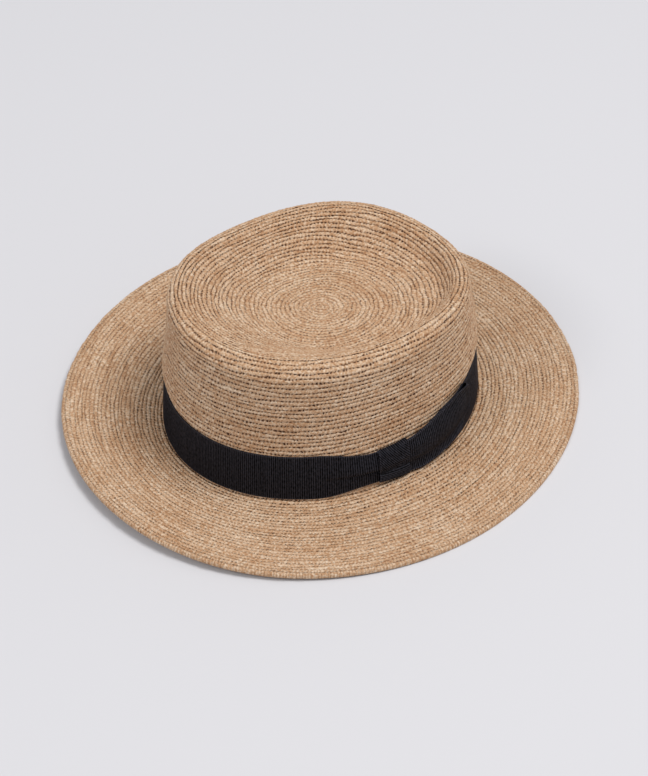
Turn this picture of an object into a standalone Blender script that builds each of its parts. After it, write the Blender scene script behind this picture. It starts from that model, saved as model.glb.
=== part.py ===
"""A crocheted raffia hat with a dented oval crown, a wide brim, a ribbon band and a flat bow.

Metres, +Z up. -Y is the front of the hat and +X the wearer's left. The brim rests on z = 0 and the
origin is the middle of the brim's outline. Angles run round the hat from the wearer's left to the back.
"""
import math
from collections import namedtuple

import bmesh
import bpy
from mathutils import Vector

# head opening and straw
HEAD_LENGTH = 0.2014
HEAD_WIDTH = 0.1676
STRAW_WALL = 0.0025

# crown
CROWN_HEIGHT = 0.096
CROWN_TAPER = 0.0050
CROWN_FULLNESS = 0.0035
RIM_ROUND = 0.0110
DENT_DEPTH = 0.0210
JOIN_ROUND = 0.0015

# brim
BRIM_WIDTH = 0.0655
BRIM_EDGE_LIFT = 0.0075
BRIM_ROOT_RISE = 0.0050
EDGE_FLAT = 0.0080
EDGE_ROUND = 0.0009

# ribbon, band and bow
RIBBON_WIDTH = 0.0330
RIBBON_THICKNESS = 0.0010
CLEARANCE = 0.0003
BAND_LIFT = 0.0010
BAND_END_WIDTH = 0.0230
KNOT_LENGTH = 0.0200
KNOT_LAP = 0.0005
LOOP_LENGTH = 0.0600
LOOP_TUCK = 0.0040
PLY_GAP = 0.0010
PLY_DROP = 0.0030
GATHER_REACH = 0.0350

# round the hat
SEGMENTS = 64
KNOT_ANGLE = math.radians(-10)
KNOT_STEPS = 4

# colours
STRAW_COLOUR = (0.45, 0.29, 0.15)
RIBBON_COLOUR = (0.012, 0.013, 0.018)

# A row for each eighth of the way round, in shares of the sizes above: the brim's width, the heights of its
# edge and its root, how far the foot of the crown stands out from a true oval, the crown's height and the round
# of its rim, and the dent's depth. The last column is how far out its floor reaches, as a share of the rim.
Section = namedtuple("Section", "degrees brim_width edge_lift root_rise fullness crown_height rim_round"
                     " dent_depth dent_reach")
SECTIONS = [
    Section(0, 0.98, 0.05, 0.80, 0.40, 0.99, 0.90, 1.00, 0.62),
    Section(45, 1.00, 0.00, 0.50, 0.60, 0.92, 0.65, 1.00, 0.74),
    Section(90, 1.02, 0.00, 0.50, 0.10, 0.86, 0.85, 0.95, 0.69),
    Section(135, 1.07, 0.00, 0.50, 0.00, 0.92, 0.85, 1.00, 0.60),
    Section(180, 1.10, 0.20, 0.80, 0.00, 0.95, 0.80, 0.95, 0.48),
    Section(225, 1.00, 0.80, 1.00, 0.00, 1.03, 0.62, 0.95, 0.35),
    Section(270, 0.90, 1.00, 1.00, 0.00, 1.055, 0.80, 1.00, 0.35),
    Section(315, 0.92, 0.35, 0.90, 0.00, 1.025, 1.00, 1.00, 0.45),
]

# Rings of the straw surface, from the middle of the crown to the edge of the brim. Tip rings are shares of
# the way out to the rim, side rings shares of the straight side and brim rings shares of the brim's width.
TIP_RINGS = (0.0, 0.15, 0.30, 0.44, 0.56, 0.66, 0.75, 0.82, 0.88, 0.94)
RIM_STEPS = 5
JOIN_STEPS = 3
SIDE_RINGS = (0.22, 0.44, 0.66, 0.98)
BRIM_RINGS = (0.06, 0.2, 0.36, 0.52, 0.68, 0.8, 1.0)

# Grosgrain folded round the band: a row for each station along the bow, from the knot outwards, with how far
# along the loop it lies, how wide the ribbon is there and how far its lower edge stands above the band's.
LoopStation = namedtuple("LoopStation", "reach width lower")
LOOP_STATIONS = [
    LoopStation(0.00, 0.56, 0.22),
    LoopStation(0.10, 0.62, 0.19),
    LoopStation(0.25, 0.76, 0.12),
    LoopStation(0.45, 0.88, 0.08),
    LoopStation(0.65, 0.93, 0.07),
    LoopStation(0.85, 0.93, 0.09),
    LoopStation(1.00, 0.90, 0.11),
]


def around(column, angle):
    """Reads one column of SECTIONS at an angle, on a smooth curve through its rows."""
    step = 2 * math.pi / len(SECTIONS)
    place = (angle % (2 * math.pi)) / step
    first = int(place)
    t = place - first
    before, here, after, beyond = (getattr(SECTIONS[(first + k) % len(SECTIONS)], column) for k in (-1, 0, 1, 2))
    return here + 0.5 * t * (after - before + t * (
        2 * before - 5 * here + 4 * after - beyond + t * (3 * (here - after) + beyond - before)))


def eased(t):
    """Runs smoothly from 0 to 1."""
    t = min(max(t, 0.0), 1.0)
    return t * t * (3 - 2 * t)


def oval(angle, growth):
    """A point of the head's oval, grown outwards by a distance, and the outward direction there."""
    a = HEAD_WIDTH / 2
    b = HEAD_LENGTH / 2
    out = Vector((math.cos(angle) / a, math.sin(angle) / b, 0)).normalized()
    return Vector((a * math.cos(angle), b * math.sin(angle), 0)) + out * growth, out


def brim_outline(angle):
    """The outer edge of the brim, seen from above, with the head's oval at the middle."""
    return oval(angle, STRAW_WALL + BRIM_WIDTH * around("brim_width", angle))[0]


def outline_middle():
    """The middle of the brim's outline."""
    edge = [brim_outline(2 * math.pi * k / SEGMENTS) for k in range(SEGMENTS)]
    return Vector([(min(p[k] for p in edge) + max(p[k] for p in edge)) / 2 for k in (0, 1)] + [0])


MIDDLE = outline_middle()


def root_height(angle):
    """The height of the straw's upper face where the brim meets the crown."""
    return STRAW_WALL + BRIM_ROOT_RISE * around("root_rise", angle)


def rim_radius(angle):
    """The radius of the round between the crown's side and the top of its rim."""
    return RIM_ROUND * around("rim_round", angle)


def side_height(angle):
    """The height of the crown's straight side, from the brim to the start of the rim's round."""
    return CROWN_HEIGHT * around("crown_height", angle) - rim_radius(angle)


def side_growth(angle, up):
    """How far the crown's outer face stands out from the head's oval at a height above the brim."""
    foot = STRAW_WALL + CROWN_FULLNESS * around("fullness", angle)
    return foot + (STRAW_WALL - CROWN_TAPER - foot) * up / side_height(angle)


def side_point(angle, up, off=0.0):
    """A point at a height above the brim on the crown's straight side, or a distance off its outer face."""
    point, out = oval(angle, side_growth(angle, up) + off)
    point.z = root_height(angle) + up
    return point - MIDDLE, out


def rim_point(angle, turn):
    """A point on the rim's round, from 0 at the crown's side to 1 at the top of the rim."""
    point, out = side_point(angle, side_height(angle))
    swing = turn * math.pi / 2
    return point + rim_radius(angle) * (Vector((0, 0, math.sin(swing))) - out * (1 - math.cos(swing)))


def tip_point(angle, share):
    """A point on the crown's dented top, from its middle to the rim."""
    rim = rim_point(angle, 1.0)
    middle = sum((rim_point(2 * math.pi * k / SEGMENTS, 1.0) for k in range(SEGMENTS)), Vector()) / SEGMENTS
    point = middle.lerp(rim, share)
    floor = around("dent_reach", angle)
    fall = 1 - eased((share - floor) / (1 - floor))
    return point - Vector((0, 0, DENT_DEPTH * around("dent_depth", angle) * fall))


def brim_point(angle, share):
    """A point on the brim's upper face, from the crown to the edge, which ends level."""
    width = BRIM_WIDTH * around("brim_width", angle)
    foot = side_growth(angle, 0)
    point, out = oval(angle, foot + (STRAW_WALL + width - foot) * share)
    level = 1 - EDGE_FLAT / width
    fall = eased(0.5 + 0.5 * min(share / level, 1.0)) * 2 - 1
    edge = STRAW_WALL + BRIM_EDGE_LIFT * max(around("edge_lift", angle), 0.0)
    point.z = root_height(angle) * (1 - fall) + edge * fall
    return point - MIDDLE


def join_point(angle, turn):
    """A point on the small hollow round where the crown turns into the brim."""
    point, out = side_point(angle, JOIN_ROUND)
    swing = turn * math.pi / 2
    return point + JOIN_ROUND * (out * (1 - math.cos(swing)) - Vector((0, 0, math.sin(swing))))


def straw_rings():
    """Every ring of the straw's outer face, from the middle of the crown to the edge of the brim."""
    rings = [lambda angle, share=share: tip_point(angle, share) for share in TIP_RINGS]
    rings += [lambda angle, k=k: rim_point(angle, 1 - k / RIM_STEPS) for k in range(RIM_STEPS + 1)]
    rings += [lambda angle, share=share: side_point(angle, side_height(angle) * (1 - share))[0]
              for share in SIDE_RINGS[:-1]]
    rings += [lambda angle, k=k: join_point(angle, k / JOIN_STEPS) for k in range(JOIN_STEPS + 1)]
    return rings + [lambda angle, share=share: brim_point(angle, share) for share in BRIM_RINGS]


def new_object(name, bm, collection, colour, roughness):
    """Makes an object of a bmesh, with a material of its own, and puts it in the collection."""
    mesh = bpy.data.meshes.new(name)
    bm.to_mesh(mesh)
    bm.free()
    mesh.shade_smooth()
    made = bpy.data.objects.new(name, mesh)
    collection.objects.link(made)
    material = bpy.data.materials.new(name)
    material.use_nodes = True
    shader = material.node_tree.nodes["Principled BSDF"]
    shader.inputs["Base Color"].default_value = (*colour, 1)
    shader.inputs["Roughness"].default_value = roughness
    mesh.materials.append(material)
    return made


def thicken(made, thickness):
    """Gives an open sheet its thickness on the side that its faces look away from, or towards if negative."""
    wall = made.modifiers.new("wall", "SOLIDIFY")
    wall.thickness = abs(thickness)
    wall.offset = -1 if thickness > 0 else 1
    wall.use_even_offset = True


def turned_sheet(rings, has_middle):
    """Spins a row of points round Z, one for each ring, then moves every point to its place on that ring."""
    bm = bmesh.new()
    first = 0 if has_middle else 1
    row = [bm.verts.new((first + k, 0, 0)) for k in range(len(rings))]
    edges = [bm.edges.new(pair) for pair in zip(row, row[1:])]
    bmesh.ops.spin(bm, geom=row + edges, cent=(0, 0, 0), axis=(0, 0, 1), angle=2 * math.pi,
                   steps=SEGMENTS, use_merge=True)
    bmesh.ops.remove_doubles(bm, verts=bm.verts, dist=1e-4)
    bmesh.ops.recalc_face_normals(bm, faces=bm.faces)
    if next(iter(bm.faces)).normal.z < 0:
        bmesh.ops.reverse_faces(bm, faces=bm.faces)
    for vertex in bm.verts:
        ring = rings[round(vertex.co.xy.length) - first]
        vertex.co = ring(math.atan2(vertex.co.y, vertex.co.x))
    return bm


def make_straw(collection):
    """The crown and brim, crocheted in one piece: a wall with its outer face given by the rings."""
    straw = new_object("hat_body", turned_sheet(straw_rings(), True), collection, STRAW_COLOUR, 0.85)
    thicken(straw, STRAW_WALL)
    edge = straw.modifiers.new("edge", "BEVEL")
    edge.width = EDGE_ROUND
    edge.segments = 2
    edge.limit_method = "ANGLE"
    edge.angle_limit = math.radians(60)
    return straw


def gathered(angle):
    """How far the band is gathered at an angle, from 0 where it is full to 1 at the knot."""
    away = abs((angle - KNOT_ANGLE + math.pi) % (2 * math.pi) - math.pi) * HEAD_LENGTH / 2
    return eased(1 - (away - KNOT_LENGTH * 0.6) / GATHER_REACH)


def band_point(angle, share):
    """A point on the band's inner face, from 0 at its lower edge to 1 at its upper edge."""
    narrowed = (RIBBON_WIDTH - BAND_END_WIDTH) * gathered(angle)
    up = BAND_LIFT + narrowed / 2 + (RIBBON_WIDTH - narrowed) * share
    return side_point(angle, up, CLEARANCE)[0]


def make_band(collection):
    """The ribbon round the foot of the crown."""
    rings = [lambda angle, share=share: band_point(angle, share) for share in (1.0, 0.5, 0.0)]
    band = new_object("hat_band", turned_sheet(rings, False), collection, RIBBON_COLOUR, 0.75)
    thicken(band, -RIBBON_THICKNESS)
    return band


def angle_after(angle, length):
    """The angle that lies a length further round the band."""
    steps = 24
    for _ in range(steps):
        a = HEAD_WIDTH / 2 + STRAW_WALL
        b = HEAD_LENGTH / 2 + STRAW_WALL
        angle += length / steps / math.hypot(a * math.sin(angle), b * math.cos(angle))
    return angle


def bow_point(length, up, off):
    """A point a length round from the knot's middle, at a height above the brim, off the band's outer face."""
    return side_point(angle_after(KNOT_ANGLE, length), up, CLEARANCE + RIBBON_THICKNESS + off)[0]


def placed_grid(columns):
    """Makes a flat grid and moves its points into columns of points, each from bottom to top."""
    bm = bmesh.new()
    wide = len(columns)
    high = len(columns[0])
    bmesh.ops.create_grid(bm, x_segments=wide - 1, y_segments=high - 1, size=0.5)
    for vertex in bm.verts:
        column = round((vertex.co.x + 0.5) * (wide - 1))
        row = round((vertex.co.y + 0.5) * (high - 1))
        vertex.co = columns[column][row]
    return bm


def loop_column(station, ply_off, drop):
    """The points across the ribbon at one station of the loop."""
    length = KNOT_LENGTH / 2 - LOOP_TUCK + (LOOP_LENGTH + LOOP_TUCK) * station.reach
    low = BAND_LIFT + RIBBON_WIDTH * station.lower - drop * station.reach
    high = low + RIBBON_WIDTH * station.width
    return [bow_point(length, low + (high - low) * share, ply_off(station)) for share in (0.0, 0.5, 1.0)]


def make_loop(collection):
    """The bow's one loop: the ribbon runs from the knot along the band, turns and comes back over itself."""
    inner = [loop_column(s, lambda t: CLEARANCE, PLY_DROP) for s in LOOP_STATIONS]
    outer = [loop_column(s, lambda t: CLEARANCE + 2 * RIBBON_THICKNESS + PLY_GAP * (0.4 + 0.6 * t.reach), 0.0)
             for s in reversed(LOOP_STATIONS)]
    round_off = RIBBON_THICKNESS + PLY_GAP / 2
    fold = []
    for turn in (0.25, 0.5, 0.75):
        reach = 1.0 + round_off * math.sin(math.pi * turn) / LOOP_LENGTH
        off = CLEARANCE + round_off * (1 - math.cos(math.pi * turn))
        end = LOOP_STATIONS[-1]._replace(reach=reach)
        fold.append(loop_column(end, lambda t, off=off: off, PLY_DROP * (1 - turn)))
    loop = new_object("bow_loop", placed_grid(inner + fold + outer), collection, RIBBON_COLOUR, 0.75)
    thicken(loop, -RIBBON_THICKNESS)
    return loop


def knot_column(length):
    """The points across the knot at one place along it, from under its lower edge over its front to the top."""
    front = CLEARANCE * 2 + 2 * RIBBON_THICKNESS + PLY_GAP
    tuck = -RIBBON_THICKNESS
    height = BAND_END_WIDTH + 2 * KNOT_LAP
    low = BAND_LIFT + (RIBBON_WIDTH - height) / 2
    high = low + height
    crown = 1 - 0.12 * (2 * length / KNOT_LENGTH) ** 2
    rows = [(low, tuck), (low, front * 0.6), (low + 0.1 * height, front)]
    rows += [(low + 0.5 * height, front * 1.15), (high - 0.1 * height, front)]
    rows += [(high, front * 0.6), (high, tuck)]
    return [bow_point(length, up, off * crown if off > 0 else off) for up, off in rows]


def make_knot(collection):
    """The knot: a short length of ribbon wrapped over the root of the loop and the gathered band."""
    columns = [knot_column(KNOT_LENGTH * (k / KNOT_STEPS - 0.5)) for k in range(KNOT_STEPS + 1)]
    knot = new_object("bow_knot", placed_grid(columns), collection, RIBBON_COLOUR, 0.75)
    thicken(knot, -RIBBON_THICKNESS)
    return knot


def main():
    """Builds the hat."""
    for thing in list(bpy.data.objects):
        bpy.data.objects.remove(thing, do_unlink=True)
    collection = bpy.data.collections.new("raffia_hat")
    bpy.context.scene.collection.children.link(collection)
    make_straw(collection)
    make_band(collection)
    make_loop(collection)
    make_knot(collection)


main()
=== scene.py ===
# %% [markdown]
# # A crocheted raffia hat
#
# The hat is worked in the round from one long strip of raffia: small rings in the middle of the crown grow
# into the dented top, turn over the rim, run down the side and spread into the brim. A black grosgrain ribbon
# goes round the foot of the crown and ends in a flat bow on the wearer's left.
#
# The imported solids give its true size and place. This lesson dresses them: every round and every stitch is
# real relief on a fine grid that is laid over the hat's form, the ribbon has its ribs and pleats, and both
# get materials made of nodes. We begin by loading the solids.

# %% Load the frame
import math

import bmesh
import bpy
import numpy as np
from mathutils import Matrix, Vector


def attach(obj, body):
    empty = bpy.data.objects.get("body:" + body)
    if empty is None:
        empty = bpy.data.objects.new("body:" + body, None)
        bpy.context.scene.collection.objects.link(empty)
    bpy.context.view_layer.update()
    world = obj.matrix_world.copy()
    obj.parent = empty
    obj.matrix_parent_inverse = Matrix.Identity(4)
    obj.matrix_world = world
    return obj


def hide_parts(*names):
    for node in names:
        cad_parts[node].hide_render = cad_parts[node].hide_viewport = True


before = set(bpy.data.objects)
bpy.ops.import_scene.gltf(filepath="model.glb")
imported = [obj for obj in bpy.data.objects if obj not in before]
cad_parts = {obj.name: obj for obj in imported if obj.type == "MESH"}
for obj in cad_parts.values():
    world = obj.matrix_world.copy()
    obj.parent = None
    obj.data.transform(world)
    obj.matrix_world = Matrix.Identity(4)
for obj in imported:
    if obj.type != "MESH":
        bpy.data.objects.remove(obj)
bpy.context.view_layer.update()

# %% [markdown]
# ## The camera
#
# The photo looks down on the hat from its front left. A long lens keeps the brim's far and near halves almost
# equally large. The camera's place was found from the oval of the brim and of the band, so that both fall
# where the photo has them. The photo's long side is its height, so the sensor's size is that of the height.

# %% Camera
IMAGE_HEIGHT = 776
CAMERA_AZIMUTH = math.radians(50.0)
CAMERA_ELEVATION = math.radians(43.0)
CAMERA_DISTANCE = 1.700
PIXELS_PER_RADIAN = 2760.6
SENSOR = 0.036
AIM = Vector((0.01635, -0.01159, 0.02452))

back = Vector((math.sin(CAMERA_AZIMUTH) * math.cos(CAMERA_ELEVATION),
               -math.cos(CAMERA_AZIMUTH) * math.cos(CAMERA_ELEVATION), math.sin(CAMERA_ELEVATION)))
camera = bpy.data.objects.new("camera", bpy.data.cameras.new("camera"))
bpy.context.scene.collection.objects.link(camera)
camera.data.sensor_fit = "AUTO"
camera.data.sensor_width = SENSOR * 1000
camera.data.lens = PIXELS_PER_RADIAN / IMAGE_HEIGHT * SENSOR * 1000
camera.data.dof.use_dof = False
camera.location = AIM + back * CAMERA_DISTANCE
camera.rotation_euler = (-back).to_track_quat("-Z", "Y").to_euler()
bpy.context.scene.camera = camera
print("lens", round(camera.data.lens, 1), "mm")

# %% [markdown]
# ## Floor and light
#
# A hat like this is shown on a sheet of pale grey paper. One big soft lamp hangs high over the picture's
# right and throws the shadow of the brim to the left. A second lamp in front lightens the shaded side, and
# the pale world fills in the rest. The paper is a large plane, and both lamps are more than a metre wide, so
# the shadow under the lifted front of the brim has a soft edge.

# %% Floor and light
FLOOR_SIZE = 12.0
PAPER_GREY = "D0CFD1"
WORLD_WHITE = "F2F3F8"
WORLD_STRENGTH = 0.55
LAMP_SIZE = 1.2
LAMP_TARGET = Vector((0, 0, 0.04))
KEY_ENERGY = 70.0
KEY_PLACE = Vector((0.95, 0.62, 3.15))
FILL_ENERGY = 45.0
FILL_PLACE = Vector((-0.30, -3.20, 3.20))


def linear(colour):
    """Turns an sRGB hex colour into the linear numbers that shaders use."""
    parts = [int(colour[k:k + 2], 16) / 255 for k in (0, 2, 4)]
    return tuple(c / 12.92 if c <= 0.04045 else ((c + 0.055) / 1.055) ** 2.4 for c in parts) + (1.0,)


def add_node(tree, kind, inputs=(), **settings):
    """Adds a node, sets its options, and gives each named input a value or a link from an output."""
    made = tree.nodes.new(kind)
    for name, value in settings.items():
        setattr(made, name, value)
    for name, value in dict(inputs).items():
        if isinstance(value, bpy.types.NodeSocket):
            tree.links.new(value, made.inputs[name])
        else:
            made.inputs[name].default_value = value
    return made


def new_material(name):
    """Makes a material and returns it with its node tree and its shader."""
    material = bpy.data.materials.new(name)
    material.use_nodes = True
    return material, material.node_tree, material.node_tree.nodes["Principled BSDF"]


def area_light(name, place, energy):
    """Adds a square area lamp at a place, facing the hat."""
    lamp = bpy.data.objects.new(name, bpy.data.lights.new(name, "AREA"))
    lamp.data.size = LAMP_SIZE
    lamp.data.energy = energy
    lamp.location = place
    lamp.rotation_euler = (LAMP_TARGET - place).to_track_quat("-Z", "Y").to_euler()
    bpy.context.scene.collection.objects.link(lamp)


bm = bmesh.new()
bmesh.ops.create_grid(bm, x_segments=1, y_segments=1, size=FLOOR_SIZE / 2)
mesh = bpy.data.meshes.new("paper")
bm.to_mesh(mesh)
bm.free()
paper = bpy.data.objects.new("paper", mesh)
bpy.context.scene.collection.objects.link(paper)
material, tree, shader = new_material("matt_grey_paper")
shader.inputs["Base Color"].default_value = linear(PAPER_GREY)
shader.inputs["Roughness"].default_value = 0.9
shader.inputs["Specular IOR Level"].default_value = 0.1
mesh.materials.append(material)

area_light("key", KEY_PLACE, KEY_ENERGY)
area_light("fill", FILL_PLACE, FILL_ENERGY)
world = bpy.data.worlds.new("studio")
bpy.context.scene.world = world
world.use_nodes = True
world.node_tree.nodes["Background"].inputs["Color"].default_value = linear(WORLD_WHITE)
world.node_tree.nodes["Background"].inputs["Strength"].default_value = WORLD_STRENGTH
bpy.context.scene.view_settings.view_transform = "Standard"
print("floor", FLOOR_SIZE, "m, key lamp", LAMP_SIZE, "m wide at", tuple(KEY_PLACE))

# %% [markdown]
# ## The form of the straw
#
# The solids hold the hat's form with few faces. A fine grid needs that form at thousands of points, so it is
# written here as the same few sizes and the same table of sections, now for whole arrays of angles at once.
# Angles run round the hat from the wearer's left. Each zone, the top, the rim and side, and the brim, is a
# family of lines that run outwards, and the rounds of crochet are spaced evenly along these lines.

# %% Sizes of the straw
HEAD_LENGTH = 0.2014
HEAD_WIDTH = 0.1676
STRAW_WALL = 0.0025
CROWN_HEIGHT = 0.096
CROWN_TAPER = 0.0050
CROWN_FULLNESS = 0.0035
RIM_ROUND = 0.0110
DENT_DEPTH = 0.0210
JOIN_ROUND = 0.0015
BRIM_WIDTH = 0.0655
BRIM_EDGE_LIFT = 0.0075
BRIM_ROOT_RISE = 0.0050
EDGE_FLAT = 0.0080

# one row for each eighth of the way round, as shares of the sizes above
COLUMNS = ("brim_width", "edge_lift", "root_rise", "fullness", "crown_height", "rim_round", "dent_depth",
           "dent_reach")
SECTIONS = np.array([
    (0.98, 0.05, 0.80, 1.00, 0.99, 0.90, 1.00, 0.62),
    (1.00, 0.00, 0.50, 0.50, 0.92, 0.65, 1.00, 0.74),
    (1.02, 0.00, 0.50, 0.10, 0.86, 0.85, 0.95, 0.69),
    (1.07, 0.00, 0.50, 0.00, 0.92, 0.85, 1.00, 0.60),
    (1.10, 0.20, 0.80, 0.00, 0.94, 1.00, 0.95, 0.48),
    (1.00, 0.80, 1.00, 0.00, 1.03, 0.62, 0.90, 0.35),
    (0.90, 1.00, 1.00, 0.00, 1.055, 0.80, 0.88, 0.35),
    (0.92, 0.35, 0.90, 0.00, 1.025, 1.00, 0.95, 0.45),
])


def around(column, angle):
    """Reads one column of the table at angles, on a smooth curve through its rows."""
    values = SECTIONS[:, COLUMNS.index(column)]
    place = np.mod(angle, 2 * math.pi) / (2 * math.pi) * len(values)
    first = np.floor(place).astype(int)
    t = place - first
    before, here, after, beyond = (values[(first + k) % len(values)] for k in (-1, 0, 1, 2))
    return here + 0.5 * t * (after - before + t * (
        2 * before - 5 * here + 4 * after - beyond + t * (3 * (here - after) + beyond - before)))


def eased(t):
    """Runs smoothly from 0 to 1."""
    t = np.clip(t, 0, 1)
    return t * t * (3 - 2 * t)


def stack(x, y, z):
    """Puts three arrays together as points."""
    return np.stack(np.broadcast_arrays(x, y, z), -1)


def oval(angle, growth):
    """Points of the head's oval grown outwards, and the outward directions there."""
    a = HEAD_WIDTH / 2
    b = HEAD_LENGTH / 2
    out = stack(np.cos(angle) / a, np.sin(angle) / b, 0.0 * angle)
    out /= np.linalg.norm(out, axis=-1, keepdims=True)
    return stack(a * np.cos(angle), b * np.sin(angle), 0.0 * angle) + out * np.asarray(growth)[..., None], out


RING = np.arange(64) / 64 * 2 * math.pi
outline = oval(RING, STRAW_WALL + BRIM_WIDTH * around("brim_width", RING))[0]
MIDDLE = (outline.min(0) + outline.max(0)) / 2
print("the oval's middle lies", (-MIDDLE * 1000).round(2), "mm from the origin")

# %% [markdown]
# Four functions place a point on the side, on the rim's round, on the dented top and on the brim. The dent's
# floor is flat, and its wall rises in a smooth curve to the rim. At the back left a long slope ends in a
# steep wall, and at the front the wall is gentle. Just above the ribbon the straw swells out a little, at the
# front right and at the back left. The brim falls from its root to its edge and ends level, and beside the
# bow its root stands higher, close under the gathered ribbon.

# %% The four zones
# angles round the hat, shares of the way from the middle to the rim, heights above the brim in metres
STEEP_ANGLE = math.radians(62)
STEEP_SPREAD = math.radians(36)
SLOPE_SHARE = 0.30
SLOPE_FROM = 0.45
SLOPE_REACH = 0.45
STEEP_REACH = 0.15
GENTLE_ANGLE = math.radians(252)
GENTLE_SPREAD = math.radians(62)
GENTLE_FOOT = 0.25
LEVEL_REACH = 0.4
BULGE = 0.0020
BULGE_ANGLES = (math.radians(228), math.radians(52))
BULGE_SPREAD = math.radians(40)
BULGE_FROM = 0.0335
BULGE_RISE = 0.0060
BULGE_FALL = 0.0400
ROOT_SWELL = 0.0036
ROOT_SWELL_ANGLE = math.radians(-8)
ROOT_SWELL_SPREAD = math.radians(19)
ROOT_SWELL_REACH = 0.40


def near(angle, middle, spread):
    """A smooth hill round one angle, from 1 at its middle to 0."""
    away = np.mod(angle - middle + math.pi, 2 * math.pi) - math.pi
    return np.exp(-(away / spread) ** 2)


def root_swell(angle):
    """How much higher the brim meets the crown beside the bow."""
    return ROOT_SWELL * near(angle, ROOT_SWELL_ANGLE, ROOT_SWELL_SPREAD)


def side_height(angle):
    """The height of the straight side, from the brim to the start of the rim's round."""
    return CROWN_HEIGHT * around("crown_height", angle) - RIM_ROUND * around("rim_round", angle)


def side_point(angle, up, off=0.0):
    """Points at a height above the brim on the crown's side, and the outward directions."""
    foot = STRAW_WALL + CROWN_FULLNESS * around("fullness", angle)
    growth = foot + (STRAW_WALL - CROWN_TAPER - foot) * up / side_height(angle) + off
    above = eased((up - BULGE_FROM) / BULGE_RISE) * (1 - eased((up - BULGE_FROM - BULGE_RISE) / BULGE_FALL))
    growth = growth + BULGE * above * sum(near(angle, middle, BULGE_SPREAD) for middle in BULGE_ANGLES)
    point, out = oval(angle, growth)
    point[..., 2] += STRAW_WALL + BRIM_ROOT_RISE * around("root_rise", angle) + up
    return point - MIDDLE, out


def rim_point(angle, turn):
    """Points on the rim's round, from 0 at the side to 1 at the top."""
    point, out = side_point(angle, side_height(angle))
    radius = RIM_ROUND * around("rim_round", angle)
    swing = turn * math.pi / 2
    point = point - out * (radius * (1 - np.cos(swing)))[..., None]
    point[..., 2] += radius * np.sin(swing)
    return point


def tip_point(angle, share):
    """Points on the dented top, from 0 at its middle to 1 at the rim."""
    angle, share = np.broadcast_arrays(angle, share)
    middle = rim_point(RING, 1.0 + 0 * RING).mean(0)
    point = middle + (rim_point(angle, 1.0 + 0 * angle) - middle) * share[..., None]
    floor = around("dent_reach", angle)
    wall = np.clip((share - floor) / (1 - floor), 0, 1)
    soft = (np.hypot(wall, GENTLE_FOOT) - GENTLE_FOOT) / (math.hypot(1, GENTLE_FOOT) - GENTLE_FOOT)
    gentle = near(angle, GENTLE_ANGLE, GENTLE_SPREAD)
    fall = 1 - eased(wall) * (1 - gentle) - soft * gentle
    steep = near(angle, STEEP_ANGLE, STEEP_SPREAD)
    slope = SLOPE_SHARE * eased((share - SLOPE_FROM) / SLOPE_REACH)
    slope = slope + (1 - SLOPE_SHARE) * eased((share - 1 + STEEP_REACH) / STEEP_REACH)
    fall = fall * (1 - steep) + (1 - slope) * steep
    depth = 1 + (around("dent_depth", angle) - 1) * eased(share / LEVEL_REACH)
    point[..., 2] -= DENT_DEPTH * depth * fall
    return point


def brim_point(angle, share):
    """Points on the brim's upper face, from 0 at the crown to 1 at the edge."""
    width = BRIM_WIDTH * around("brim_width", angle)
    foot = STRAW_WALL + CROWN_FULLNESS * around("fullness", angle)
    point, _ = oval(angle, foot + (STRAW_WALL + width - foot) * share)
    fall = eased(0.5 + 0.5 * np.minimum(share / (1 - EDGE_FLAT / width), 1.0)) * 2 - 1
    edge = STRAW_WALL + BRIM_EDGE_LIFT * np.maximum(around("edge_lift", angle), 0)
    root = STRAW_WALL + BRIM_ROOT_RISE * around("root_rise", angle)
    swell = root_swell(angle) * (1 - eased(share / ROOT_SWELL_REACH))
    point[..., 2] += root * (1 - fall) + edge * fall + swell
    return point - MIDDLE


front_rim = rim_point(np.array([-math.pi / 2]), 1.0)[0]
print("the rim stands", round(front_rim[2] * 1000, 1), "mm high at the front")

# %% [markdown]
# ## Rounds and stitches
#
# The straw is worked in single crochet: 33 rounds for the dented top, 33 for the rim and side, and 25 for the
# brim, each 2.5 to 3 mm wide. A round has as many stitches as fit at about 2.4 mm each, so it gains six or
# seven on a flat part and none on the side. We number the rounds from the middle of the crown, and give every
# point of the hat two numbers: how far it lies round the hat, from 0 to 1, and its round. The grid, the
# relief and later the colours all use these two numbers, so a hollow in the mesh and the shade painted into
# it fall on the same spot. Hands don't work evenly, so a round strays in a few slow waves, and pulls sharp
# kinks in the outer part of the top.

# %% Lines that run outwards
TOP_ROUNDS = 33
SIDE_ROUNDS = 33
BRIM_ROUNDS = 25
SIDE_STARTS = TOP_ROUNDS
BRIM_STARTS = TOP_ROUNDS + SIDE_ROUNDS
LAST_ROUND = BRIM_STARTS + BRIM_ROUNDS
FIRST_STITCHES = 6
TOP_INCREASE = 6.7
SIDE_STITCHES = 240
BRIM_INCREASE = 6.3

# how many points each zone gives to a line, and where the brim's part begins, in radii of the join's round
TOP_POINTS = 90
RIM_POINTS = 14
SIDE_POINTS = 30
JOIN_POINTS = 6
BRIM_POINTS = 60
BRIM_FROM = 1.3

# one row for each wave of a round: its size in rounds, its waves round the hat, its change with each round
# and its start
WAVES = (
    (0.09, 3, 0.7, 0),
    (0.09, 7, -1.3, 2),
    (0.07, 17, 2.1, 0),
    (0.06, 31, -3.7, 0),
)
KINK = 0.85
KINK_WAVES = 2.5
KINK_START = 0.6
KINK_MEAN = 0.64
KINK_ROUND = 23
KINK_SPREAD = 6.5
EVEN_FIRST = 4
EVEN_LAST = 3


def stitches_in(row):
    """How many stitches a round has."""
    grown = np.minimum(FIRST_STITCHES + TOP_INCREASE * row, SIDE_STITCHES)
    return np.floor(grown + BRIM_INCREASE * np.maximum(row - BRIM_STARTS + 1, 0) + 0.5)


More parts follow.
